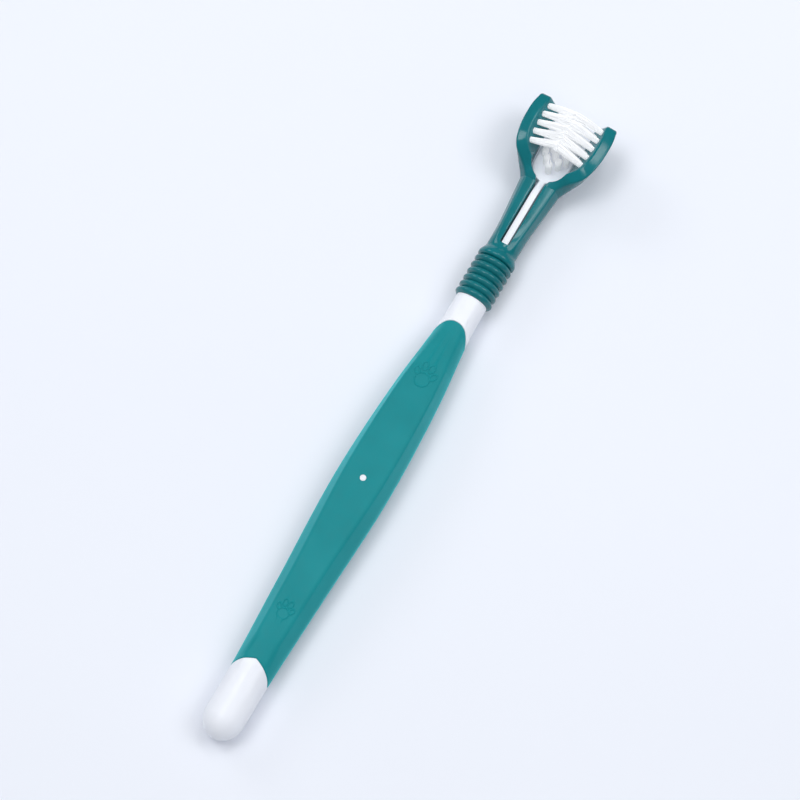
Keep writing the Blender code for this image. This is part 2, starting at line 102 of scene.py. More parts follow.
# Grip
GRIP_START = along("grip_overmould", 0)
NOTCH_DEPTH = 5.2
NOTCH_HALF_WIDTH = 5.85
NOTCH_POINTEDNESS = 1.6
GRIP_SHOULDER = 124.5
TONGUE_LENGTH = along("grip_overmould", 1) - GRIP_SHOULDER
TONGUE_HALF_WIDTH = 5.7
TONGUE_POWER = 2.4
GRIP_THICKNESS = 1.6
GRIP_LIP = 0.45
GRIP_EDGE_RINGS = (0.7, 1.1, 1.7)
GRIP_RINGS = (30.0, 120.0)
GRIP_RING_STEP = 1.5
BORE_STATIONS = range(118, 28, -6)
CORE_LIP = 0.12
CORE_LIP_STEPS = 3
BUTT_EDGE_RINGS = (1.6, 0.8, 0.4)
NECK_EDGE_RINGS = (0.4, 0.8)
SEAM = 0.04
EDGE_HALVINGS = 50  # halvings of the stretch in which the grip's edge is searched
EDGE_MARGIN = 0.01  # how far before the grip's start the search begins
EDGE_SLANT = 0.5  # least part of a step into the grip that goes along the brush, at its top and sides
BOSS_STATION = 80.7
BOSS_RADIUS = 0.9
BOSS_DEPTH = 2.0
BOSS_EDGE = 0.12
BOSS_EDGE_RISE = 0.1
BOSS_DOME = 0.01
BOSS_SIDES = 40
BOSS_HOLE = (3, 1)  # how far the boss's hole is cut below and above the top

# Paw outlines: middle, length and width of each
PAWS = ((114.8, 7.8, 7.0), (38.7, 5.8, 5.4))
PAW_HEIGHT = 0.2
PAW_LINE = 0.5
PAW_RING_STEP = 0.14
# The pad and the toes of a paw as (along, across, half length, half width, turn) in shares of its size
PAW_OVALS = (
    (-0.2, 0.0, 0.27, 0.3, 0),
    (0.06, 0.36, 0.15, 0.105, 24),
    (0.06, -0.36, 0.15, 0.105, -24),
    (0.32, 0.15, 0.17, 0.115, 8),
    (0.32, -0.15, 0.17, 0.115, -8),
)

# Sleeve and neck
NECK_END = 144.0
NECK_CHAMFER = 0.3
SPIGOT_RADIUS = 3.8
SPIGOT_CHAMFER = 0.4
CORE_SPIGOT_END = 148.5
FORK_SPIGOT_START = along("fork_root", 0)
SLEEVE_START = along("neck_sleeve", 0)
SLEEVE_END = along("neck_sleeve", 1)
RIB_COUNT = 6
RIB_PITCH = (SLEEVE_END - SLEEVE_START) / RIB_COUNT
RIB_RADIUS = 5.8
GROOVE_RADIUS = 4.85
RIB_POWER = 0.85
SLEEVE_BORE_STATIONS = (150.0, 147.0)
FLANGE_START = SLEEVE_END + 0.05
FLANGE_LENGTH = 3.1
FLANGE_RINGS = 18
FLANGE_STEP = 0.1
FLANGE_SKEW = 0.6
NECK_RADIUS = 4.7

# Fork neck: (distance from the butt, half width, half height, roundness)
FORK_NECK = (
    (159.2, 4.8, 4.6, 1.0),
    (165.0, 4.85, 4.3, 0.25),
    (175.7, 5.7, 4.1, 0.05),
    (181.8, 6.25, 4.1, 0.05),
)
FORK_RINGS = 40
FORK_EDGE_SHARE = 0.78
SEAM_STATION = (along("fork_root", 1) + along("arm_left", 0)) / 2
SLOT_START = 160.6
SLOT_HALF_WIDTH = 1.45
SLOT_CORNER = 0.5
SLOT_FLOOR = 3.4
SLOT_LIP = 0.3
SLOT_MOUTH = (1.2, 3.0)  # width in lips, and height above the neck, at which the slot's cutter ends
PAST_END = 5.0  # how far a cutter runs on past what it cuts

# Centre brush
STEM_TAIL = along("centre_brush", 0)
STEM_HALF_WIDTH = 1.0
STEM_BOTTOM = 6.0
STEM_TOP = 9.6
STEM_ROUNDING = 0.25
STEM_RING_STEP = 0.5
STEM_DROP_START = 178.0
POCKET_GAP = 0.1
POCKET_FLOOR_GAP = 0.3
POCKET_OVERLAP = 1.0
PADDLE_HALF_WIDTH = 5.4
PADDLE_ROUND_CENTRE = 188.7
PADDLE_STRAIGHT_END = 196.9
PADDLE_END_LENGTH = along("centre_brush", 1) - PADDLE_STRAIGHT_END
PADDLE_END_POWER = 0.35
PADDLE_LAST_RING = 0.999  # share of the end's length at which its last ring lies
PADDLE_BOTTOM = 4.6
PADDLE_TOP = 7.8
PADDLE_ROUNDING = 0.6
PADDLE_CLEARANCE = 0.5
STEM_DROP_END = PADDLE_ROUND_CENTRE - PADDLE_HALF_WIDTH + 1
CENTRE_CORNER_STEPS = 5

# Arms: outer edge as (distance from the butt, distance from the middle, turn of the section in degrees,
# share of the way from the root's section to the full one)
ARM_STATIONS = (
    (181.9, 6.25, 0, 0.0),
    (183.2, 7.4, 21, 0.2),
    (184.8, 9.3, 32, 0.53),
    (186.5, 10.95, 29, 0.78),
    (188.3, 11.9, 18, 0.9),
    (190.5, 12.5, 9, 0.965),
    (193.0, 12.95, 4, 0.995),
    (197.5, 13.2, 0, 1.0),
    (201.0, 13.1, 0, 0.97),
    (203.0, 12.8, 0, 0.93),
    (203.9, 12.6, 0, 0.9),
)
# Section corners as (distance in from the outer edge, height, rounding)
ROOT_CORNERS = (
    (0, 5.4, 0.8),
    (0, 7.0, 0.8),
    (1.4, 10.3, 0.9),
    (4.8, 10.3, 0.3),
    (4.8, 6.2, 0.4),
    (4.8, 2.1, 0.4),
    (1.4, 2.1, 0.9),
)
ARM_CORNERS = (
    (1.15, 11.6, 0.7),
    (0.85, 13.4, 0.7),
    (0.0, 16.2, 0.7),
    (3.4, 16.5, 0.6),
    (7.2, 9.2, 0.7),
    (6.9, 5.8, 0.7),
    (3.4, 5.6, 0.9),
)
ARM_CORNER_STEPS = 6
FACE_TOP = np.array(ARM_CORNERS[3][:2])
FACE_FOOT = np.array(ARM_CORNERS[4][:2])
ARM_RINGS = 8  # rings between one station and the next
ARM_TIP_SHRINK = 0.68
ARM_TIP_START = 203.3
ARM_TIP_RINGS = 6

# Tufts
HOLE_RADIUS = 0.95
HOLE_DEPTH = 2.6
HOLE_SIDES = 20
HOLE_GAP = 0.15
BUNDLE_RADIUS = 0.74
BUNDLE_RINGS = 3
BUNDLE_TWIST = 0.3  # turn of each ring of the bundle, in radians
FILAMENT_RADIUS = 0.1
FILAMENT_TIP = 0.45
FILAMENT_SIDES = 6
FILAMENT_LEVELS = (0.0, 0.25, 0.45, 0.62, 0.78, 0.9, 0.975, 1.0)
FILAMENT_SHAKE = 0.035
FILAMENT_SWING = 0.14
FILAMENT_EXTRA = 0.1
LEAN_POWER = 1.6
UPRIGHT_SPLAY = 0.3
SEED = 7
ARM_TUFT_START = 190.7
ARM_TUFT_PITCH = 2.95
UPPER_ROW = 2.45
LOWER_ROW = 5.15
UPPER_COUNT = 5
LOWER_COUNT = 4
ARM_TUFT_OVERLAP = 0.3
ARM_TUFT_DROOP = 0.6
ARM_SPLAYS = (0.45, 1.0)
ARM_TRIM = 0.8
# Sideways bend at the tips of each arm's tufts, from the first tuft to the last
ARM_LEANS = {"left": (0.9, -0.9), "right": (0.25, -0.9)}
ARM_LEAN_SPREAD = 0.15
# Paddle rows: (distance from the butt, distances across)
CENTRE_ROWS = (
    (187.0, (0,)),
    (189.2, (-1.9, 1.9)),
    (191.4, (-3.4, 0, 3.4)),
    (193.6, (-1.9, 1.9)),
    (195.8, (-3.4, 0, 3.4)),
    (198.0, (-1.9, 1.9)),
)
CENTRE_HOLE_DEPTH = 2.2
CENTRE_TUFT_TOP = 13.5
CENTRE_TUFT_FALL = 0.47  # how much lower a tuft is trimmed for each millimetre to the side
CENTRE_SPLAYS = (0.4, 0.9)
CENTRE_TRIM = 0.6
CENTRE_LEAN_SPREAD = 0.3

# Camera: heading of the view on the floor from +X, tilt from straight down, and where it looks
VIEW_HEADING = 29.7
VIEW_TILT = 17.0
VIEW_DISTANCE = 633.0
VIEW_ANGLE = 20.0
VIEW_TARGET = (106.7, 3.2, 6.5)

# Stage: the floor in metres, and the point that the lights face
FLOOR_HALF_SIZE = 3.0
LIGHT_TARGET = (150.0, 0.0, 8.0)
ROOM_COLOUR = (0.93, 0.96, 1.0)
ROOM_STRENGTH = 0.25
# Softboxes: name, direction, then distance, width and height in metres, and radiance
SOFTBOXES = (
    ("overhead_left", (-0.07, 0.316, 0.946), 1.1, 0.5, 0.36, 5.0),
    ("overhead_right", (0.385, -0.024, 0.922), 1.1, 0.24, 0.26, 5.0),
    ("side_right", (0.25, -0.52, 0.82), 1.3, 0.6, 0.6, 3.4),
    ("side_left", (0.2, 0.8, 0.5), 1.3, 0.5, 0.4, 3.2),
)
CEILING = ("ceiling", (0.05, 0.0, 1.0), 1.2, 1.7, 1.7, 0.92)


def place(x, y, z):
    """A point in metres from its distance along the brush, its sideways distance and its height."""
    return Vector(((x + BUTT) * MM, y * MM, z * MM))


def to_metres(points):
    """An array of (along, across, up) in millimetres as an array of points in metres."""
    points = np.array(points, float)
    points[..., 0] += BUTT
    return points * MM


def smooth(stations, x):
    """The values at x of a smooth curve through (x, value) stations."""
    xs = np.array([s[0] for s in stations], float)
    values = np.array([s[1] for s in stations], float)
    slopes = np.gradient(values, xs)
    x = np.clip(np.asarray(x, float), xs[0], xs[-1])
    i = np.clip(np.searchsorted(xs, x) - 1, 0, len(xs) - 2)
    span = xs[i + 1] - xs[i]
    t = (x - xs[i]) / span
    return (
        values[i] * (1 + 2 * t) * (1 - t) ** 2
        + values[i + 1] * t * t * (3 - 2 * t)
        + span * (slopes[i] * t * (1 - t) ** 2 - slopes[i + 1] * t * t * (1 - t))
    )


def ease(start, end, x):
    """0 before start, 1 after end, smooth in between."""
    t = np.clip((np.asarray(x, float) - start) / (end - start), 0.0, 1.0)
    return t * t * (3 - 2 * t)


def smooth_row(rows, x):
    """The values at x of the smooth curves through rows of (x, value, value, ...)."""
    columns = range(1, len(rows[0]))
    return [float(smooth([(row[0], row[column]) for row in rows], x)) for column in columns]


def rounded_corner(before, corner, after, cut, steps):
    """Points of a curve that rounds a corner off, starting and ending about cut away from it."""
    before, corner, after = (np.array(p, float) for p in (before, corner, after))
    to_before, to_after = before - corner, after - corner
    start = corner + to_before * min(cut / np.linalg.norm(to_before), CORNER_LIMIT)
    end = corner + to_after * min(cut / np.linalg.norm(to_after), CORNER_LIMIT)
    ts = [k / steps for k in range(steps + 1)]
    return [(1 - t) ** 2 * start + 2 * t * (1 - t) * corner + t * t * end for t in ts]


def quarter_outline(half_width, half_height, edge_share, roundness, share):
    """(y, z) on the handle's quarter outline, from the side at share 0 to the top's middle at share 1."""
    share = np.asarray(share, float)
    zero = np.zeros_like(share)
    side = np.stack([half_width + zero, zero], -1)
    flank = np.stack([half_width + zero, FLANK_SHARE * half_height + zero], -1)
    edge = np.stack([edge_share * half_width + zero, half_height + zero], -1)
    top = np.stack([zero, half_height + zero], -1)

    def toward(a, b, cut):
        length = np.linalg.norm(b - a, axis=-1, keepdims=True)
        return a + (b - a) * np.minimum(cut / length, CORNER_LIMIT)

    knots = [side, toward(flank, side, FLANK_CUT), toward(flank, edge, FLANK_CUT),
             toward(edge, flank, EDGE_CUT), toward(edge, top, EDGE_CUT), top]
    stops = (0.0, *OUTLINE_STOPS, 1.0)
    corners = {1: flank, 3: edge}
    result = np.zeros(share.shape + (2,))
    for k in range(5):
        t = np.clip((share - stops[k]) / (stops[k + 1] - stops[k]), 0, 1)[..., None]
        if k in corners:
            piece = (1 - t) ** 2 * knots[k] + 2 * t * (1 - t) * corners[k] + t * t * knots[k + 1]
        else:
            piece = knots[k] + (knots[k + 1] - knots[k]) * t
        inside = (share >= stops[k]) & (share <= stops[k + 1])
        result[inside] = piece[inside]
    angle = np.arctan2(result[..., 1] / half_height, result[..., 0] / half_width)
    circle = np.stack([half_width * np.cos(angle), half_height * np.sin(angle)], -1)
    return result + (circle - result) * np.asarray(roundness)[..., None]


class Columns:
    """Where the points of a ring lie round the outline: share of its quarter, and the quarter's signs."""

    def __init__(self, upper, lower):
        top = [(s, 1, 1) for s in upper] + [(s, -1, 1) for s in reversed(upper[:-1])]
        low = [(s, -1, -1) for s in lower[1:]] + [(s, 1, -1) for s in reversed(lower[1:-1])]
        self.share, self.side, self.up = (np.array(column, float) for column in zip(*(top + low)))


def outline_shares(flat_count):
    """Shares for a quarter outline, with flat_count points on the flat top."""
    counts = (*OUTLINE_COUNTS, flat_count)
    stops = (0.0, *OUTLINE_STOPS, 1.0)
    shares = [0.0]
    for k, count in enumerate(counts):
        shares += [stops[k] + (stops[k + 1] - stops[k]) * n / count for n in range(1, count + 1)]
    return shares


FINE = Columns(outline_shares(38), outline_shares(5))
PLAIN = Columns(outline_shares(5), outline_shares(5))


def handle_values(x, inset=0.0):
    """Half width, half height, edge share, roundness and middle height of the handle at x."""
    top = smooth(TOP_HEIGHTS, x)
    bottom = NECK_UNDERSIDE * ease(FLAT_UNDERSIDE_END, NECK_START, x)
    roundness = np.clip(smooth(ROUNDNESS, x), 0, 1)
    return (smooth(HALF_WIDTHS, x) - inset, (top - bottom) / 2 - inset, smooth(EDGE_SHARES, x), roundness,
            (top + bottom) / 2)


def handle_points(columns, x, inset=0.0, scale=1.0, share=None):
    """A ring on the handle's surface, or inset below it; x may differ from column to column."""
    share = columns.share if share is None else share
    x = np.broadcast_to(np.asarray(x, float), share.shape)
    half_width, half_height, edge_share, roundness, middle = handle_values(x, inset)
    outline = quarter_outline(half_width * scale, half_height * scale, edge_share, roundness, share)
    return np.stack([x, columns.side * outline[:, 0], middle + columns.up * outline[:, 1]], -1)


def neck_points(x, half_width, half_height, roundness, columns):
    """A ring about the neck's centre line, with an outline like the handle's."""
    rounds = np.full(len(columns.share), roundness)
    outline = quarter_outline(half_width, half_height, FORK_EDGE_SHARE, rounds, columns.share)
    xs = np.full(len(columns.share), float(x))
    return np.stack([xs, columns.side * outline[:, 0], AXIS_HEIGHT + columns.up * outline[:, 1]], -1)


def round_points(x, radius, columns=PLAIN):
    """A round ring about the neck's centre line."""
    return neck_points(x, radius, radius, 1.0, columns)


def notch_half_width(x):
    """Half width of the white point that reaches into the grip, at x."""
    radius = 1 + NOTCH_POINTEDNESS
    steep = math.acos(NOTCH_POINTEDNESS / radius)
    reach = np.clip((x - GRIP_START) / NOTCH_DEPTH, 0, 1)
    angle = np.arcsin(reach * math.sin(steep))
    return (radius * np.cos(angle) - NOTCH_POINTEDNESS) * NOTCH_HALF_WIDTH


def tongue_half_width(x):
    """Half width of the grip's rounded tongue, at x."""
    reach = np.clip((x - GRIP_SHOULDER) / TONGUE_LENGTH, 0, 1)
    return TONGUE_HALF_WIDTH * (1 - reach**TONGUE_POWER) ** (1 / TONGUE_POWER)


class GripEdge:
    """The line on the handle where the grip ends: a station for each column, and the way into the grip."""

    def __init__(self, columns, half_width_at, low, high, inward):
        self.columns = columns
        low = np.full(len(columns.share), float(low))
        high = np.full(len(columns.share), float(high))
        for _ in range(EDGE_HALVINGS):
            middle = (low + high) / 2
            outside = np.abs(handle_points(columns, middle)[:, 1]) > half_width_at(middle)
            high = np.where(outside, middle, high)
            low = np.where(outside, low, middle)
        self.x = (low + high) / 2
        step = 0.01
        here = handle_points(columns, self.x)
        by_x = (handle_points(columns, self.x + step) - here) / step
        inner_share = np.where(columns.share > 0.5, columns.share - step, columns.share + step)
        share_step = (inner_share - columns.share)[:, None]
        by_share = (handle_points(columns, self.x, share=inner_share) - here) / share_step
        tangent = np.roll(here, -1, axis=0) - np.roll(here, 1, axis=0)
        normal = np.cross(by_x, by_share)
        way = np.cross(normal, tangent)
        way /= np.linalg.norm(way, axis=1, keepdims=True)
        way *= np.where(way[:, 0] * inward < 0, -1.0, 1.0)[:, None]
        ends = (columns.share == 0) | (columns.share == 1)
        self.step_x = np.zeros(len(self.x))
        self.step_share = np.zeros(len(self.x))
        for k in range(len(self.x)):
            if ends[k]:
                near = way[k - 1] if columns.share[k] == 1 else way[k]
                self.step_x[k] = inward / max(abs(near[0]), EDGE_SLANT)
            else:
                basis = np.stack([by_x[k], by_share[k]], 1)
                self.step_x[k], self.step_share[k] = np.linalg.lstsq(basis, way[k], rcond=None)[0]

    def ring(self, distance, inset=0.0):
        """The ring at a distance into the grip from its edge (negative is outside it)."""
        share = np.clip(self.columns.share + distance * self.step_share, 0, 1)
        return handle_points(self.columns, self.x + distance * self.step_x, inset=inset, share=share)


def lip(radius, steps=6):
    """(distance from the edge, drop) along a quarter circle, from the surface down to the edge."""
    angles = [math.pi / 2 * k / steps for k in range(steps + 1)]
    return [(radius * (1 - math.sin(a)), radius * (1 - math.cos(a))) for a in angles]


def new_object(name, mesh):
    """An object in the scene for a mesh, shaded smooth with its sharp edges kept."""
    mesh.shade_smooth()
    mesh.set_sharp_from_angle(angle=SHARP_ANGLE)
    obj = bpy.data.objects.new(name, mesh)
    bpy.context.scene.collection.objects.link(obj)
    return obj


def add_mesh(name, verts, faces):
    """An object from points in metres, its faces turned outward."""
    mesh = bpy.data.meshes.new(name)
    mesh.from_pydata([tuple(v) for v in verts], [], faces)
    bm = bmesh.new()
    bm.from_mesh(mesh)
    bmesh.ops.recalc_face_normals(bm, faces=bm.faces)
    bm.to_mesh(mesh)
    bm.free()
    return new_object(name, mesh)


def ring_faces(ring_count, count, closed=False):
    """Quads between rings of count points each; closed joins the last ring to the first."""
    faces = []
    for a in range(ring_count if closed else ring_count - 1):
        b = (a + 1) % ring_count
        for k in range(count):
            after = (k + 1) % count
            faces.append((a * count + k, a * count + after, b * count + after, b * count + k))
    return faces


def loft(name, rings, start_point=None, closed=False):
    """A closed surface through rings in millimetres, capped flat or drawn to a point at its start."""
    count = len(rings[0])
    verts = list(to_metres(np.concatenate(rings)))
    faces = ring_faces(len(rings), count, closed)
    if not closed:
        last = (len(rings) - 1) * count
        faces.append(tuple(range(last, last + count)))
        if start_point is None:
            faces.append(tuple(reversed(range(count))))
        else:
            verts.append(place(*start_point))
            faces += [(len(verts) - 1, (k + 1) % count, k) for k in range(count)]
    return add_mesh(name, verts, faces)


def rod(name, start, end, radius, sides):
    """A round cutter between two points in millimetres."""
    start, end = place(*start), place(*end)
    axis = end - start
    bm = bmesh.new()
    bmesh.ops.create_cone(bm, cap_ends=True, segments=sides, radius1=radius * MM, radius2=radius * MM,
                          depth=axis.length)
    turn = axis.to_track_quat("Z", "Y").to_matrix().to_4x4()
    bmesh.ops.transform(bm, matrix=Matrix.Translation((start + end) / 2) @ turn, verts=bm.verts)
    mesh = bpy.data.meshes.new(name)
    bm.to_mesh(mesh)
    bm.free()
    return new_object(name, mesh)


def cut(obj, tools):
    """Cuts the tools out of obj for good, and removes them."""
    for tool in tools:
        modifier = obj.modifiers.new(tool.name, "BOOLEAN")
        modifier.operation = "DIFFERENCE"
        modifier.solver = "EXACT"
        modifier.object = tool
    bpy.context.view_layer.update()
    evaluated = obj.evaluated_get(bpy.context.evaluated_depsgraph_get())
    mesh = bpy.data.meshes.new_from_object(evaluated)
    obj.modifiers.clear()
    obj.data = mesh
    mesh.shade_smooth()
    mesh.set_sharp_from_angle(angle=SHARP_ANGLE)
    for tool in tools:
        bpy.data.objects.remove(tool)


# Materials

NOISE_RANGE = (0.3, 0.7)
SHEEN_ROUGHNESS = 0.45


def link(tree, source, output, target, socket):
    """Joins an output of one node to an input of another."""
    tree.links.new(source.outputs[output], target.inputs[socket])


def noise_node(tree, coordinates, scale, detail=3.0):
    """3-D noise whose features are about scale millimetres wide."""
    node = tree.nodes.new("ShaderNodeTexNoise")
    node.inputs["Scale"].default_value = 1 / (scale * MM)
    node.inputs["Detail"].default_value = detail
    link(tree, coordinates, "Object", node, "Vector")
    return node


def remap(tree, source, low, high):
    """A noise's middle range spread over low to high."""
    node = tree.nodes.new("ShaderNodeMapRange")
    node.inputs["From Min"].default_value = NOISE_RANGE[0]
    node.inputs["From Max"].default_value = NOISE_RANGE[1]
    node.inputs["To Min"].default_value = low
    node.inputs["To Max"].default_value = high
    link(tree, source, "Fac", node, "Value")
    return node


def moulded(name, dark, light, roughness, grain, depth, cloud=9.0, gloss_level=0.5, subsurface=0.0,
            reach=1.0, sheen=0.0, sheen_tint=(1.0, 1.0, 1.0), painted_glow=0.0):
    """A moulded plastic: drifting colour between dark and light, uneven gloss and a fine surface grain.

    The widths of the cloud and the grain, the grain's depth and the reach of light under the surface are in
    millimetres. The glow is painted light: an even emission in the light colour that brightens the plastic
    beyond what the lamps give.
    """
    made = bpy.data.materials.new(name)
    made.use_nodes = True
    tree = made.node_tree
    shader = tree.nodes["Principled BSDF"]
    shader.inputs["Specular IOR Level"].default_value = gloss_level
    shader.inputs["Subsurface Weight"].default_value = subsurface
    shader.inputs["Subsurface Radius"].default_value = (1.0, 1.0, 1.0)
    shader.inputs["Subsurface Scale"].default_value = reach * MM
    shader.inputs["Sheen Weight"].default_value = sheen
    shader.inputs["Sheen Roughness"].default_value = SHEEN_ROUGHNESS
    shader.inputs["Sheen Tint"].default_value = (*sheen_tint, 1.0)
    # Painted light: the glow is emission in the light colour, though the plastic is no lamp.
    shader.inputs["Emission Color"].default_value = (*light, 1.0)
    shader.inputs["Emission Strength"].default_value = painted_glow
    coordinates = tree.nodes.new("ShaderNodeTexCoord")
    clouds = noise_node(tree, coordinates, cloud)
    ramp = tree.nodes.new("ShaderNodeValToRGB")
    ramp.color_ramp.elements[0].position = NOISE_RANGE[0]
    ramp.color_ramp.elements[0].color = (*dark, 1.0)
    ramp.color_ramp.elements[1].position = NOISE_RANGE[1]
    ramp.color_ramp.elements[1].color = (*light, 1.0)
    link(tree, clouds, "Fac", ramp, "Fac")
    link(tree, ramp, "Color", shader, "Base Color")
    uneven = noise_node(tree, coordinates, cloud / 4)
    gloss = remap(tree, uneven, roughness[0], roughness[1])
    link(tree, gloss, "Result", shader, "Roughness")
    fine = noise_node(tree, coordinates, grain, detail=2.0)
    bump = tree.nodes.new("ShaderNodeBump")
    bump.inputs["Strength"].default_value = 1.0
    bump.inputs["Distance"].default_value = depth * MM
    link(tree, fine, "Fac", bump, "Height")
    link(tree, bump, "Normal", shader, "Normal")
    return made


# The white plastic's glow is painted light that brightens it evenly.
WHITE_PLASTIC = moulded(
    "white_plastic", dark=(0.76, 0.785, 0.85), light=(0.80, 0.825, 0.885), roughness=(0.3, 0.4),
    grain=0.5, depth=0.003, subsurface=0.25, reach=1.5, painted_glow=0.07)
GRIP_ELASTOMER = moulded(
    "grip_elastomer", dark=(0.006, 0.225, 0.25), light=(0.008, 0.25, 0.278), roughness=(0.42, 0.54),
    grain=0.16, depth=0.006, gloss_level=0.13, sheen=1.0, sheen_tint=(0.1, 0.8, 0.85))
SLEEVE_ELASTOMER = moulded(
    "sleeve_elastomer", dark=(0.003, 0.14, 0.163), light=(0.004, 0.166, 0.192), roughness=(0.14, 0.24),
    grain=0.3, depth=0.003)
HEAD_PLASTIC = moulded(
    "head_plastic", dark=(0.002, 0.148, 0.172), light=(0.003, 0.17, 0.2), roughness=(0.1, 0.18),
    grain=0.8, depth=0.002, cloud=5.0, gloss_level=0.38)
# The nylon's glow is painted light that brightens the filaments, shaded ones too.
NYLON = moulded(
    "nylon", dark=(0.93, 0.945, 0.97), light=(0.96, 0.97, 0.985), roughness=(0.35, 0.5),
    grain=0.4, depth=0.002, cloud=1.2, subsurface=0.3, reach=0.6, sheen=0.5, painted_glow=0.12)


def finish_piece(obj, material):
    """Gives a piece its material."""
    obj.data.materials.clear()
    obj.data.materials.append(material)
    return obj


# Handle


def paw_relief(points):
    """Height that the raised paw outlines add to points on the top of the grip."""
    relief = np.zeros(len(points))
    for middle, length, width in PAWS:
        for x, y, half_length, half_width, turn in PAW_OVALS:
            turn = math.radians(turn)
            dx = points[:, 0] - middle - x * length
            dy = points[:, 1] - y * width
            u = (dx * math.cos(turn) + dy * math.sin(turn)) / (half_length * length)
            v = (dy * math.cos(turn) - dx * math.sin(turn)) / (half_width * width)
            radius = np.sqrt(u * u + v * v)
            distance = np.abs(radius - 1) * min(half_length * length, half_width * width)
            ridge = np.clip(1 - distance / (PAW_LINE / 2), 0, 1)
            relief = np.maximum(relief, PAW_HEIGHT * ridge * ridge * (3 - 2 * ridge))
    return relief


def grip_stations():
    """Stations of the grip's plain rings, close together where the paw outlines are."""
    before, after = 1.1, 0.1  # how far the close rings start before a paw and end after it
    stations = []
    x, end = GRIP_RINGS
    while x < end:
        stations.append(x)
        near_paw = any(-before < x - (middle - length / 2) and x - (middle + length / 2) < after
                       for middle, length, _ in PAWS)
        x += PAW_RING_STEP if near_paw else GRIP_RING_STEP
    return stations


def make_grip(notch, tongue):
    """Soft grip: rounded lips at both ends, raised paw outlines, and a bore over the core's spine."""
    outer = [notch.ring(distance, inset=drop) for distance, drop in reversed(lip(GRIP_LIP))]
    outer += [notch.ring(distance) for distance in GRIP_EDGE_RINGS]
    outer += [handle_points(FINE, x) for x in grip_stations()]
    outer += [tongue.ring(distance) for distance in reversed(GRIP_EDGE_RINGS)]
    outer += [tongue.ring(distance, inset=drop) for distance, drop in lip(GRIP_LIP)]
    on_flat_top = (FINE.up > 0) & (FINE.share > OUTLINE_STOPS[-1])
    for points in outer:
        points[:, 2] += np.where(on_flat_top, paw_relief(points), 0.0)
    depth = GRIP_THICKNESS - SEAM
    bore = [tongue.ring(0.0, inset=depth)]
    bore += [handle_points(FINE, x, inset=depth) for x in BORE_STATIONS]
    bore.append(notch.ring(0.0, inset=depth))
    grip = loft("grip_overmould_skin", outer + bore, closed=True)
    top = float(smooth(TOP_HEIGHTS, BOSS_STATION))
    low, high = (BOSS_STATION, 0, top - BOSS_HOLE[0]), (BOSS_STATION, 0, top + BOSS_HOLE[1])
    cut(grip, [rod("boss_hole", low, high, BOSS_RADIUS + SEAM, BOSS_SIDES)])
    return grip


def make_core(notch, tongue):
    """White core: domed butt, spine under the grip, round neck and spigot."""
    core_lip = lip(CORE_LIP, CORE_LIP_STEPS)
    rings = []
    for k in range(1, DOME_RINGS + 1):
        angle = math.pi / 2 * k / DOME_RINGS
        rings.append(handle_points(FINE, DOME_LENGTH * (1 - math.cos(angle)), scale=math.sin(angle)))
    rings += [handle_points(FINE, x) for x in BUTT_STATIONS]
    rings += [notch.ring(-distance) for distance in BUTT_EDGE_RINGS]
    rings += [notch.ring(-distance - SEAM, inset=drop) for distance, drop in core_lip]
    rings.append(notch.ring(-SEAM, inset=GRIP_THICKNESS))
    rings += [handle_points(FINE, x, inset=GRIP_THICKNESS) for x in SPINE_STATIONS]
    rings.append(tongue.ring(-SEAM, inset=GRIP_THICKNESS))
    rings += [tongue.ring(-distance - SEAM, inset=drop) for distance, drop in reversed(core_lip)]
    rings += [tongue.ring(-distance) for distance in NECK_EDGE_RINGS]
    rings += [handle_points(FINE, x) for x in NECK_STATIONS]
    rings += [
        round_points(NECK_END - NECK_CHAMFER, NECK_RADIUS, FINE),
        round_points(NECK_END, NECK_RADIUS - NECK_CHAMFER, FINE),
        round_points(NECK_END, SPIGOT_RADIUS, FINE),
        round_points(CORE_SPIGOT_END - SPIGOT_CHAMFER, SPIGOT_RADIUS, FINE),
        round_points(CORE_SPIGOT_END, SPIGOT_RADIUS - SPIGOT_CHAMFER, FINE),
    ]
    middle = float(handle_values(0.0)[4])
    return loft("handle_core_body", rings, start_point=(0, 0, middle))


def make_boss():
    """The small round end of the core that shows on top of the grip, slightly domed."""
    top = float(smooth(TOP_HEIGHTS, BOSS_STATION))
    shoulder = top - BOSS_EDGE
    profile = [(BOSS_RADIUS, top - BOSS_DEPTH), (BOSS_RADIUS, shoulder)]
    for angle in (0.5, 1.0, 1.5):
        inward = BOSS_EDGE * (1 - math.cos(angle))
        profile.append((BOSS_RADIUS - inward, shoulder + BOSS_EDGE_RISE * math.sin(angle)))
    profile += [(BOSS_RADIUS * 0.5, top), (BOSS_RADIUS * 0.2, top + BOSS_DOME)]
    angles = np.linspace(0, 2 * math.pi, BOSS_SIDES, endpoint=False)
    rings = []
    for radius, z in profile:
        xs = BOSS_STATION + radius * np.cos(angles)
        rings.append(np.stack([xs, radius * np.sin(angles), np.full(BOSS_SIDES, z)], -1))
    return loft("core_boss", rings)


# Sleeve


def turned(name, profile, sides=96):
    """A ring-shaped solid from a closed (station, radius) profile about the neck's centre line."""
    angles = np.linspace(0, 2 * math.pi, sides, endpoint=False)
    rings = []
    for x, radius in profile:
        zs = AXIS_HEIGHT + radius * np.sin(angles)
        rings.append(np.stack([np.full(sides, x), radius * np.cos(angles), zs], -1))
    return loft(name, rings, closed=True)


def rib_profile(low, length, valley, crest, steps=12, skew=1.0):
    """One rounded rib: (station, radius) from its foot over its crest, without its far foot.

    A skew under 1 brings the crest nearer to the rib's start.
    """
    points = []
    for k in range(steps):
        share = (1 - math.cos(math.pi * k / steps)) / 2
        bump = math.sin(math.pi * share**skew) ** RIB_POWER
        points.append((low + length * share, valley + (crest - valley) * bump))
    return points


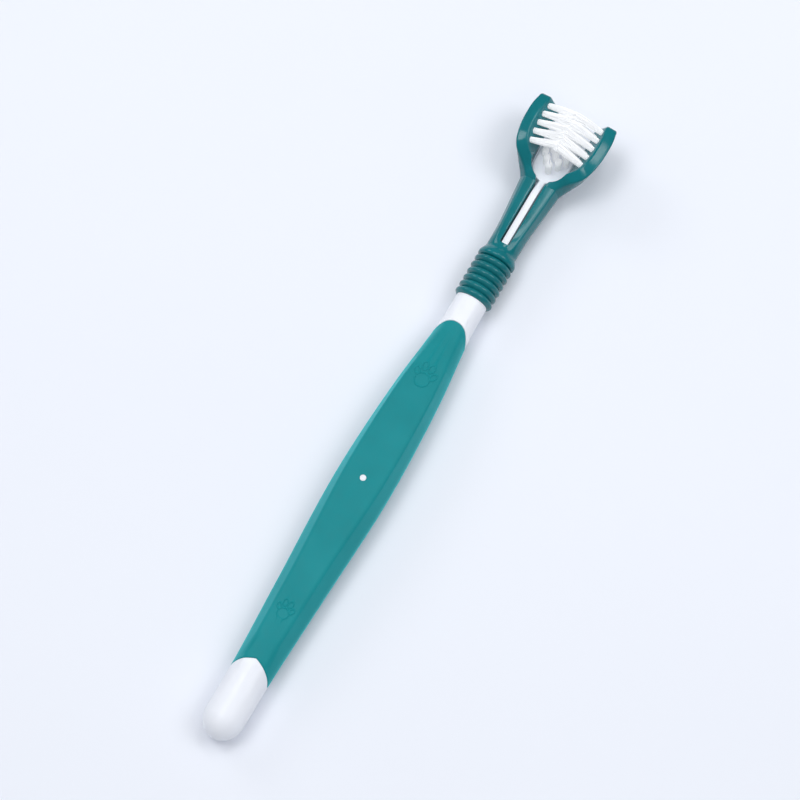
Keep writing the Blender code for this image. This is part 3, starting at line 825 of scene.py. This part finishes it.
def make_sleeve():
    """Ribbed sleeve; its bore steps down behind the core's shoulder."""
    outer = []
    for rib in range(RIB_COUNT):
        outer += rib_profile(SLEEVE_START + rib * RIB_PITCH, RIB_PITCH, GROOVE_RADIUS, RIB_RADIUS)
    outer.append((SLEEVE_END, GROOVE_RADIUS))
    shoulder = NECK_END + SEAM
    bore = [(x, SPIGOT_RADIUS + SEAM) for x in (SLEEVE_END, *SLEEVE_BORE_STATIONS, shoulder)]
    bore += [(x, NECK_RADIUS + SEAM) for x in (shoulder, SLEEVE_START)]
    return turned("neck_sleeve_ribs", outer + bore)


# Fork


def fork_ring(x):
    """The fork neck's outline at x."""
    half_width, half_height, roundness = smooth_row(FORK_NECK, x)
    return neck_points(x, half_width, half_height, roundness, PLAIN)


def slot_cutter():
    """Cutter for the stem's slot, flared at the top so that the slot's edges come out rounded.

    Its plan is a list of points with their way outward, and its levels are pairs of spread and height above
    the neck's top; the first level is the slot's floor.
    """
    corner_steps, straight_steps, lip_steps = 6, 12, 5
    far = SEAM_STATION + PAST_END
    straight = SLOT_START + SLOT_CORNER
    left = [(straight + (far - straight) * k / straight_steps, SLOT_HALF_WIDTH, 0.0, 1.0)
            for k in range(straight_steps, 0, -1)]
    for k in range(corner_steps + 1):
        angle = math.pi / 2 * k / corner_steps
        x = SLOT_START + SLOT_CORNER * (1 - math.sin(angle))
        y = SLOT_HALF_WIDTH - SLOT_CORNER * (1 - math.cos(angle))
        left.append((x, y, math.sin(angle), math.cos(angle)))
    plan = left + [(x, -y, nx, -ny) for x, y, nx, ny in reversed(left)]
    levels = [(0.0, None)]
    for k in range(lip_steps + 1):
        angle = math.pi / 2 * k / lip_steps
        levels.append((SLOT_LIP * (1 - math.cos(angle)), -SLOT_LIP * (1 - math.sin(angle))))
    levels.append((SLOT_LIP * SLOT_MOUTH[0], SLOT_MOUTH[1]))
    rings = []
    for spread, above in levels:
        ring = []
        for x, y, nx, ny in plan:
            top = AXIS_HEIGHT + smooth_row(FORK_NECK, min(x, SEAM_STATION))[1]
            z = SLOT_FLOOR if above is None else top + above
            ring.append((x - nx * spread, y + ny * spread, z))
        rings.append(np.array(ring))
    return loft("slot_cutter", rings)


def make_fork():
    """Fork neck with its spigot, flange and slot, and the pocket that holds the stem's tail."""
    rings = [round_points(FORK_SPIGOT_START, SPIGOT_RADIUS - SPIGOT_CHAMFER),
             round_points(FORK_SPIGOT_START + SPIGOT_CHAMFER, SPIGOT_RADIUS),
             round_points(FLANGE_START, SPIGOT_RADIUS)]
    flange = rib_profile(FLANGE_START, FLANGE_LENGTH, NECK_RADIUS + FLANGE_STEP, RIB_RADIUS, FLANGE_RINGS,
                         FLANGE_SKEW)
    rings += [round_points(x, radius) for x, radius in flange]
    rings += [fork_ring(x) for x in np.linspace(FORK_NECK[0][0], SEAM_STATION, FORK_RINGS)]
    fork = loft("fork_neck", rings)
    across = STEM_HALF_WIDTH + POCKET_GAP
    start, end = STEM_TAIL - POCKET_GAP, SLOT_START + POCKET_OVERLAP
    pocket = np.array([(start, -across), (start, across), (end, across), (end, -across)])
    levels = (STEM_BOTTOM - POCKET_FLOOR_GAP, STEM_TOP + POCKET_GAP)
    pocket_rings = [np.column_stack([pocket, np.full(len(pocket), z)]) for z in levels]
    cut(fork, [slot_cutter(), loft("pocket_cutter", pocket_rings)])
    return fork


# Arms


def arm_ring(x, side, scale=1.0, shift=0.0):
    """The arm's rounded section at x, shrunk about its middle by scale and moved along by shift."""
    outer, turn, rise = smooth_row(ARM_STATIONS, x)
    turn = math.radians(turn)
    root, full = np.array(ROOT_CORNERS, float), np.array(ARM_CORNERS, float)
    corners = root + (full - root) * min(max(rise, 0.0), 1.0)
    count = len(corners)
    outline = []
    for k in range(count):
        before, corner, after = corners[k - 1, :2], corners[k, :2], corners[(k + 1) % count, :2]
        outline += rounded_corner(before, corner, after, corners[k, 2], ARM_CORNER_STEPS)
    middle = np.mean(outline, axis=0)
    ring = []
    for point in outline:
        inward, z = middle + (point - middle) * scale
        ring.append((x + inward * math.sin(turn) + shift, side * (outer - inward * math.cos(turn)), z))
    return np.array(ring)


def arm_face():
    """Unit vectors down the bristle face and out of it, in (inward, up)."""
    down = FACE_FOOT - FACE_TOP
    down /= np.linalg.norm(down)
    return down, np.array((-down[1], down[0]))


def arm_tuft_places():
    """(x, distance down the bristle face) of each tuft on an arm."""
    upper = [(ARM_TUFT_START + ARM_TUFT_PITCH * k, UPPER_ROW) for k in range(UPPER_COUNT)]
    lower = [(ARM_TUFT_START + ARM_TUFT_PITCH * (k + 0.5), LOWER_ROW) for k in range(LOWER_COUNT)]
    return upper + lower


def arm_tuft_line(x, row, side):
    """Root of a tuft on the bristle face, and the tuft's direction, both as (along, across, up)."""
    down, out = arm_face()
    inward, height = FACE_TOP + down * row
    root = np.array((x, side * (smooth_row(ARM_STATIONS, x)[0] - inward), height))
    return root, np.array((0.0, -side * out[0], out[1]))


def room_cutter(name):
    """Cutter for the room that the arms leave round the paddle."""
    radius = PADDLE_HALF_WIDTH + PADDLE_CLEARANCE
    steps = 64
    below, above = -2.0, 25.0
    plan = [(LENGTH + PAST_END, radius)]
    for k in range(steps + 1):
        angle = math.pi * (0.5 + k / steps)
        plan.append((PADDLE_ROUND_CENTRE + radius * math.cos(angle), radius * math.sin(angle)))
    plan.append((LENGTH + PAST_END, -radius))
    return loft(name, [np.column_stack([np.array(plan), np.full(len(plan), z)]) for z in (below, above)])


def make_arm(label, side):
    """One curved arm with its tuft holes, cut clear of the paddle."""
    xs = []
    for a, b in zip(ARM_STATIONS, ARM_STATIONS[1:]):
        xs += [a[0] + (b[0] - a[0]) * k / ARM_RINGS for k in range(ARM_RINGS)]
    rings = [arm_ring(x, side) for x in xs if x < ARM_TIP_START]
    rings[0][:, 0] = SEAM_STATION
    for k in range(ARM_TIP_RINGS + 1):
        angle = math.pi / 2 * k / ARM_TIP_RINGS
        scale = ARM_TIP_SHRINK + (1 - ARM_TIP_SHRINK) * math.cos(angle)
        shift = (LENGTH - ARM_TIP_START) * math.sin(angle)
        rings.append(arm_ring(ARM_TIP_START, side, scale=scale, shift=shift))
    arm = loft(f"{label}_arm", rings)
    tools = [room_cutter(f"{label}_room")]
    for index, (x, row) in enumerate(arm_tuft_places()):
        root, out = arm_tuft_line(x, row, side)
        low, high = root - out * HOLE_DEPTH, root + out
        tools.append(rod(f"{label}_hole_{index}", low, high, HOLE_RADIUS, HOLE_SIDES))
    cut(arm, tools)
    return arm


# Centre brush


def paddle_half_width(x):
    """Half width of the stem or paddle at x."""
    if x < PADDLE_ROUND_CENTRE:
        inside = PADDLE_HALF_WIDTH**2 - (x - PADDLE_ROUND_CENTRE) ** 2
        return max(STEM_HALF_WIDTH, math.sqrt(max(inside, 0.0)))
    beyond = max(x - PADDLE_STRAIGHT_END, 0.0) / PADDLE_END_LENGTH
    return PADDLE_HALF_WIDTH * max(1 - beyond**2, 0.0) ** PADDLE_END_POWER


def centre_stations():
    """Stations of the stem, of the paddle's round start and of its far end."""
    tail_step, stem_rings, round_rings, end_rings = 2, 11, 24, 16
    round_start = PADDLE_ROUND_CENTRE - math.sqrt(PADDLE_HALF_WIDTH**2 - STEM_HALF_WIDTH**2)
    stations = [STEM_TAIL, STEM_TAIL + tail_step]
    stations += [STEM_DROP_START + STEM_RING_STEP * k for k in range(stem_rings)]
    stations = [x for x in stations if x < round_start] + [round_start]
    first = math.asin(STEM_HALF_WIDTH / PADDLE_HALF_WIDTH)
    for k in range(1, round_rings + 1):
        angle = first + (math.pi / 2 - first) * k / round_rings
        stations.append(PADDLE_ROUND_CENTRE - PADDLE_HALF_WIDTH * math.cos(angle))
    for k in range(end_rings):
        angle = math.pi / 2 * k / end_rings
        stations.append(PADDLE_STRAIGHT_END + PADDLE_END_LENGTH * math.sin(angle))
    stations.append(PADDLE_STRAIGHT_END + PADDLE_END_LENGTH * PADDLE_LAST_RING)
    return stations


def make_centre_brush():
    """Stem and paddle with rounded edges and a blind hole for each tuft."""
    rings = []
    for x in centre_stations():
        drop = float(ease(STEM_DROP_START, STEM_DROP_END, x))
        bottom = STEM_BOTTOM + (PADDLE_BOTTOM - STEM_BOTTOM) * drop
        top = STEM_TOP + (PADDLE_TOP - STEM_TOP) * drop
        wide = paddle_half_width(x)
        corners = ((wide, bottom), (wide, top), (-wide, top), (-wide, bottom))
        rounding = min(STEM_ROUNDING + (PADDLE_ROUNDING - STEM_ROUNDING) * drop, wide / 2)
        outline = []
        for k in range(4):
            before, corner, after = corners[k - 1], corners[k], corners[(k + 1) % 4]
            outline += rounded_corner(before, corner, after, rounding, CENTRE_CORNER_STEPS)
        rings.append(np.array([(x, y, z) for y, z in outline]))
    brush = loft("centre_stem_and_paddle", rings)
    tools = []
    for index, (x, y) in enumerate(centre_tuft_places()):
        low, high = (x, y, PADDLE_TOP - CENTRE_HOLE_DEPTH), (x, y, PADDLE_TOP + 1)
        tools.append(rod(f"centre_hole_{index}", low, high, HOLE_RADIUS, HOLE_SIDES))
    cut(brush, tools)
    return brush


def centre_tuft_places():
    """(x, y) of each tuft on the paddle."""
    return [(x, y) for x, across in CENTRE_ROWS for y in across]


# Tufts


def bundle_places(rng):
    """Sideways places of a tuft's filaments: rings of a hexagon, each moved a little."""
    places = [(0.0, 0.0)]
    for ring in range(1, BUNDLE_RINGS + 1):
        for k in range(6 * ring):
            angle = 2 * math.pi * k / (6 * ring) + BUNDLE_TWIST * ring
            radius = BUNDLE_RADIUS * ring / BUNDLE_RINGS
            places.append((radius * math.cos(angle), radius * math.sin(angle)))
    shake = FILAMENT_SHAKE
    return [(u + rng.uniform(-shake, shake), v + rng.uniform(-shake, shake)) for u, v in places]


def make_tuft(name, root, out, depth, reach, lean, droop, splays, trim, rng):
    """A bundle of filaments from depth below the root to reach above it, splayed and bent a little.

    Its tips are bent along the brush by lean, and across the tuft by droop, which for an arm's tuft is
    downward. trim is how much shorter than the bundle a filament can be.
    """
    out = Vector(out).normalized()
    across = Vector((1, 0, 0)) - out * out.x
    across.normalize()
    other = out.cross(across)
    if other.z > 0:
        other = -other
    root = Vector(root)
    sides = FILAMENT_SIDES
    verts, faces = [], []
    for u, v in bundle_places(rng):
        length = depth + reach + rng.uniform(-trim, FILAMENT_EXTRA)
        splay = rng.uniform(*splays)
        swing = rng.gauss(0, FILAMENT_SWING)
        first = len(verts)
        for level in FILAMENT_LEVELS:
            above = max(level * length - depth, 0.0) / reach
            spread = 1 + splay * above
            middle = root + out * (level * length - depth)
            middle += across * (u * spread + (lean + swing) * above**LEAN_POWER)
            middle += other * (v * (1 + UPRIGHT_SPLAY * splay * above) + droop * above**2)
            radius = FILAMENT_RADIUS * (FILAMENT_TIP if level == 1.0 else 1.0)
            for k in range(sides):
                angle = 2 * math.pi * k / sides
                verts.append(middle + (across * math.cos(angle) + other * math.sin(angle)) * radius)
        for face in ring_faces(len(FILAMENT_LEVELS), sides):
            faces.append(tuple(first + n for n in face))
        last = first + (len(FILAMENT_LEVELS) - 1) * sides
        faces.append(tuple(range(last, last + sides)))
        faces.append(tuple(reversed(range(first, first + sides))))
    return add_mesh(name, [place(*v) for v in verts], faces)


def make_arm_tufts(label, side, rng):
    """The tufts of one arm; they meet the other arm's over the middle of the brush."""
    first_lean, last_lean = ARM_LEANS[label]
    for index, (x, row) in enumerate(arm_tuft_places()):
        root, out = arm_tuft_line(x, row, side)
        reach = (abs(root[1]) + ARM_TUFT_OVERLAP) / abs(out[1])
        share = (x - ARM_TUFT_START) / (ARM_TUFT_PITCH * (UPPER_COUNT - 1))
        lean = first_lean + (last_lean - first_lean) * share
        lean += rng.uniform(-ARM_LEAN_SPREAD, ARM_LEAN_SPREAD)
        droop = ARM_TUFT_DROOP if row == UPPER_ROW else -ARM_TUFT_DROOP / 2
        name = f"{label}_bristles_{index + 1:02d}"
        depth = HOLE_DEPTH - HOLE_GAP
        tuft = make_tuft(name, root, out, depth, reach, lean, droop, ARM_SPLAYS, ARM_TRIM, rng)
        finish_piece(tuft, NYLON)
        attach(tuft, f"{label}_arm")
        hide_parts(f"{label}_tuft_{index + 1:02d}")


def make_centre_tufts(rng):
    """The tufts of the paddle, trimmed lower towards the sides."""
    for index, (x, y) in enumerate(centre_tuft_places()):
        root, out = (x, y, PADDLE_TOP), (0, 0, 1)
        depth = CENTRE_HOLE_DEPTH - HOLE_GAP
        reach = CENTRE_TUFT_TOP - CENTRE_TUFT_FALL * abs(y) - PADDLE_TOP
        lean = rng.uniform(-CENTRE_LEAN_SPREAD, CENTRE_LEAN_SPREAD)
        droop = rng.uniform(-CENTRE_LEAN_SPREAD, CENTRE_LEAN_SPREAD)
        name = f"centre_bristles_{index + 1:02d}"
        tuft = make_tuft(name, root, out, depth, reach, lean, droop, CENTRE_SPLAYS, CENTRE_TRIM, rng)
        finish_piece(tuft, NYLON)
        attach(tuft, "centre")
        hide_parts(f"centre_tuft_{index + 1:02d}")


# Stage


def floor_material():
    """Pale, faintly blue paper with a very soft unevenness."""
    return moulded("floor_paper", dark=(0.80, 0.83, 0.905), light=(0.81, 0.84, 0.915), roughness=(0.75, 0.85),
                   grain=2.0, depth=0.01, cloud=120.0)


def make_floor():
    """A wide flat sheet under the brush."""
    size = FLOOR_HALF_SIZE
    corners = [(-size, -size, 0), (size, -size, 0), (size, size, 0), (-size, size, 0)]
    mesh = bpy.data.meshes.new("floor")
    mesh.from_pydata(corners, [], [(0, 1, 2, 3)])
    floor = bpy.data.objects.new("floor", mesh)
    bpy.context.scene.collection.objects.link(floor)
    mesh.materials.append(floor_material())


def add_softbox(name, direction, distance, width, height, radiance):
    """An evenly bright area light that faces the head of the brush from a direction."""
    target = place(*LIGHT_TARGET)
    direction = Vector(direction).normalized()
    data = bpy.data.lights.new(name, "AREA")
    data.shape = "RECTANGLE"
    data.size = width
    data.size_y = height
    data.energy = radiance * math.pi * width * height
    lamp = bpy.data.objects.new(name, data)
    bpy.context.scene.collection.objects.link(lamp)
    lamp.location = target + direction * distance
    lamp.rotation_euler = direction.to_track_quat("Z", "Y").to_euler()
    return lamp


def make_lights():
    """Soft studio light: a dim room, two small softboxes overhead, one on each side and a wide ceiling.

    The ceiling only fills the shadows, so it doesn't show in reflections.
    """
    world = bpy.data.worlds.new("room")
    world.use_nodes = True
    background = world.node_tree.nodes["Background"]
    background.inputs["Color"].default_value = (*ROOM_COLOUR, 1.0)
    background.inputs["Strength"].default_value = ROOM_STRENGTH
    bpy.context.scene.world = world
    for softbox in SOFTBOXES:
        add_softbox(*softbox)
    fill = add_softbox(*CEILING)
    fill.visible_glossy = False


def make_camera():
    """The camera, above the brush and leaning towards its butt."""
    heading, tilt = math.radians(VIEW_HEADING), math.radians(VIEW_TILT)
    ahead = math.sin(tilt)
    forward = Vector((ahead * math.cos(heading), ahead * math.sin(heading), -math.cos(tilt)))
    data = bpy.data.cameras.new("camera")
    data.sensor_width = 36.0
    data.lens = data.sensor_width / 2 / math.tan(math.radians(VIEW_ANGLE / 2))
    camera = bpy.data.objects.new("camera", data)
    bpy.context.scene.collection.objects.link(camera)
    right = Vector((math.sin(heading), -math.cos(heading), 0))
    up = right.cross(forward)
    turn = Matrix((right, up, -forward)).transposed()
    eye = place(*VIEW_TARGET) - forward * VIEW_DISTANCE * MM
    camera.matrix_world = Matrix.Translation(eye) @ turn.to_4x4()
    bpy.context.scene.camera = camera


def main():
    """Sets the camera, builds every piece on its body, and lays out the stage and the lights."""
    make_camera()
    notch = GripEdge(FINE, notch_half_width, GRIP_START - EDGE_MARGIN, GRIP_START + NOTCH_DEPTH, inward=1)
    tongue = GripEdge(FINE, tongue_half_width, GRIP_SHOULDER, GRIP_SHOULDER + TONGUE_LENGTH, inward=-1)
    grip = finish_piece(make_grip(notch, tongue), GRIP_ELASTOMER)
    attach(grip, "handle")
    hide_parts("grip_overmould")
    core = finish_piece(make_core(notch, tongue), WHITE_PLASTIC)
    boss = finish_piece(make_boss(), WHITE_PLASTIC)
    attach(core, "handle")
    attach(boss, "handle")
    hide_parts("handle_core")

    sleeve = finish_piece(make_sleeve(), SLEEVE_ELASTOMER)
    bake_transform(sleeve)
    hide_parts("neck_sleeve")

    fork = finish_piece(make_fork(), HEAD_PLASTIC)
    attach(fork, "head")
    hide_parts("fork_root")

    brush = finish_piece(make_centre_brush(), WHITE_PLASTIC)
    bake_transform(brush)
    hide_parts("centre_brush")

    rng = random.Random(SEED)
    for label, side in (("left", 1), ("right", -1)):
        arm = finish_piece(make_arm(label, side), HEAD_PLASTIC)
        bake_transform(arm)
        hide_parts(f"arm_{label}")
        make_arm_tufts(label, side, rng)
    make_centre_tufts(rng)

    make_floor()
    make_lights()
    bpy.context.scene.view_settings.view_transform = "Standard"


main()
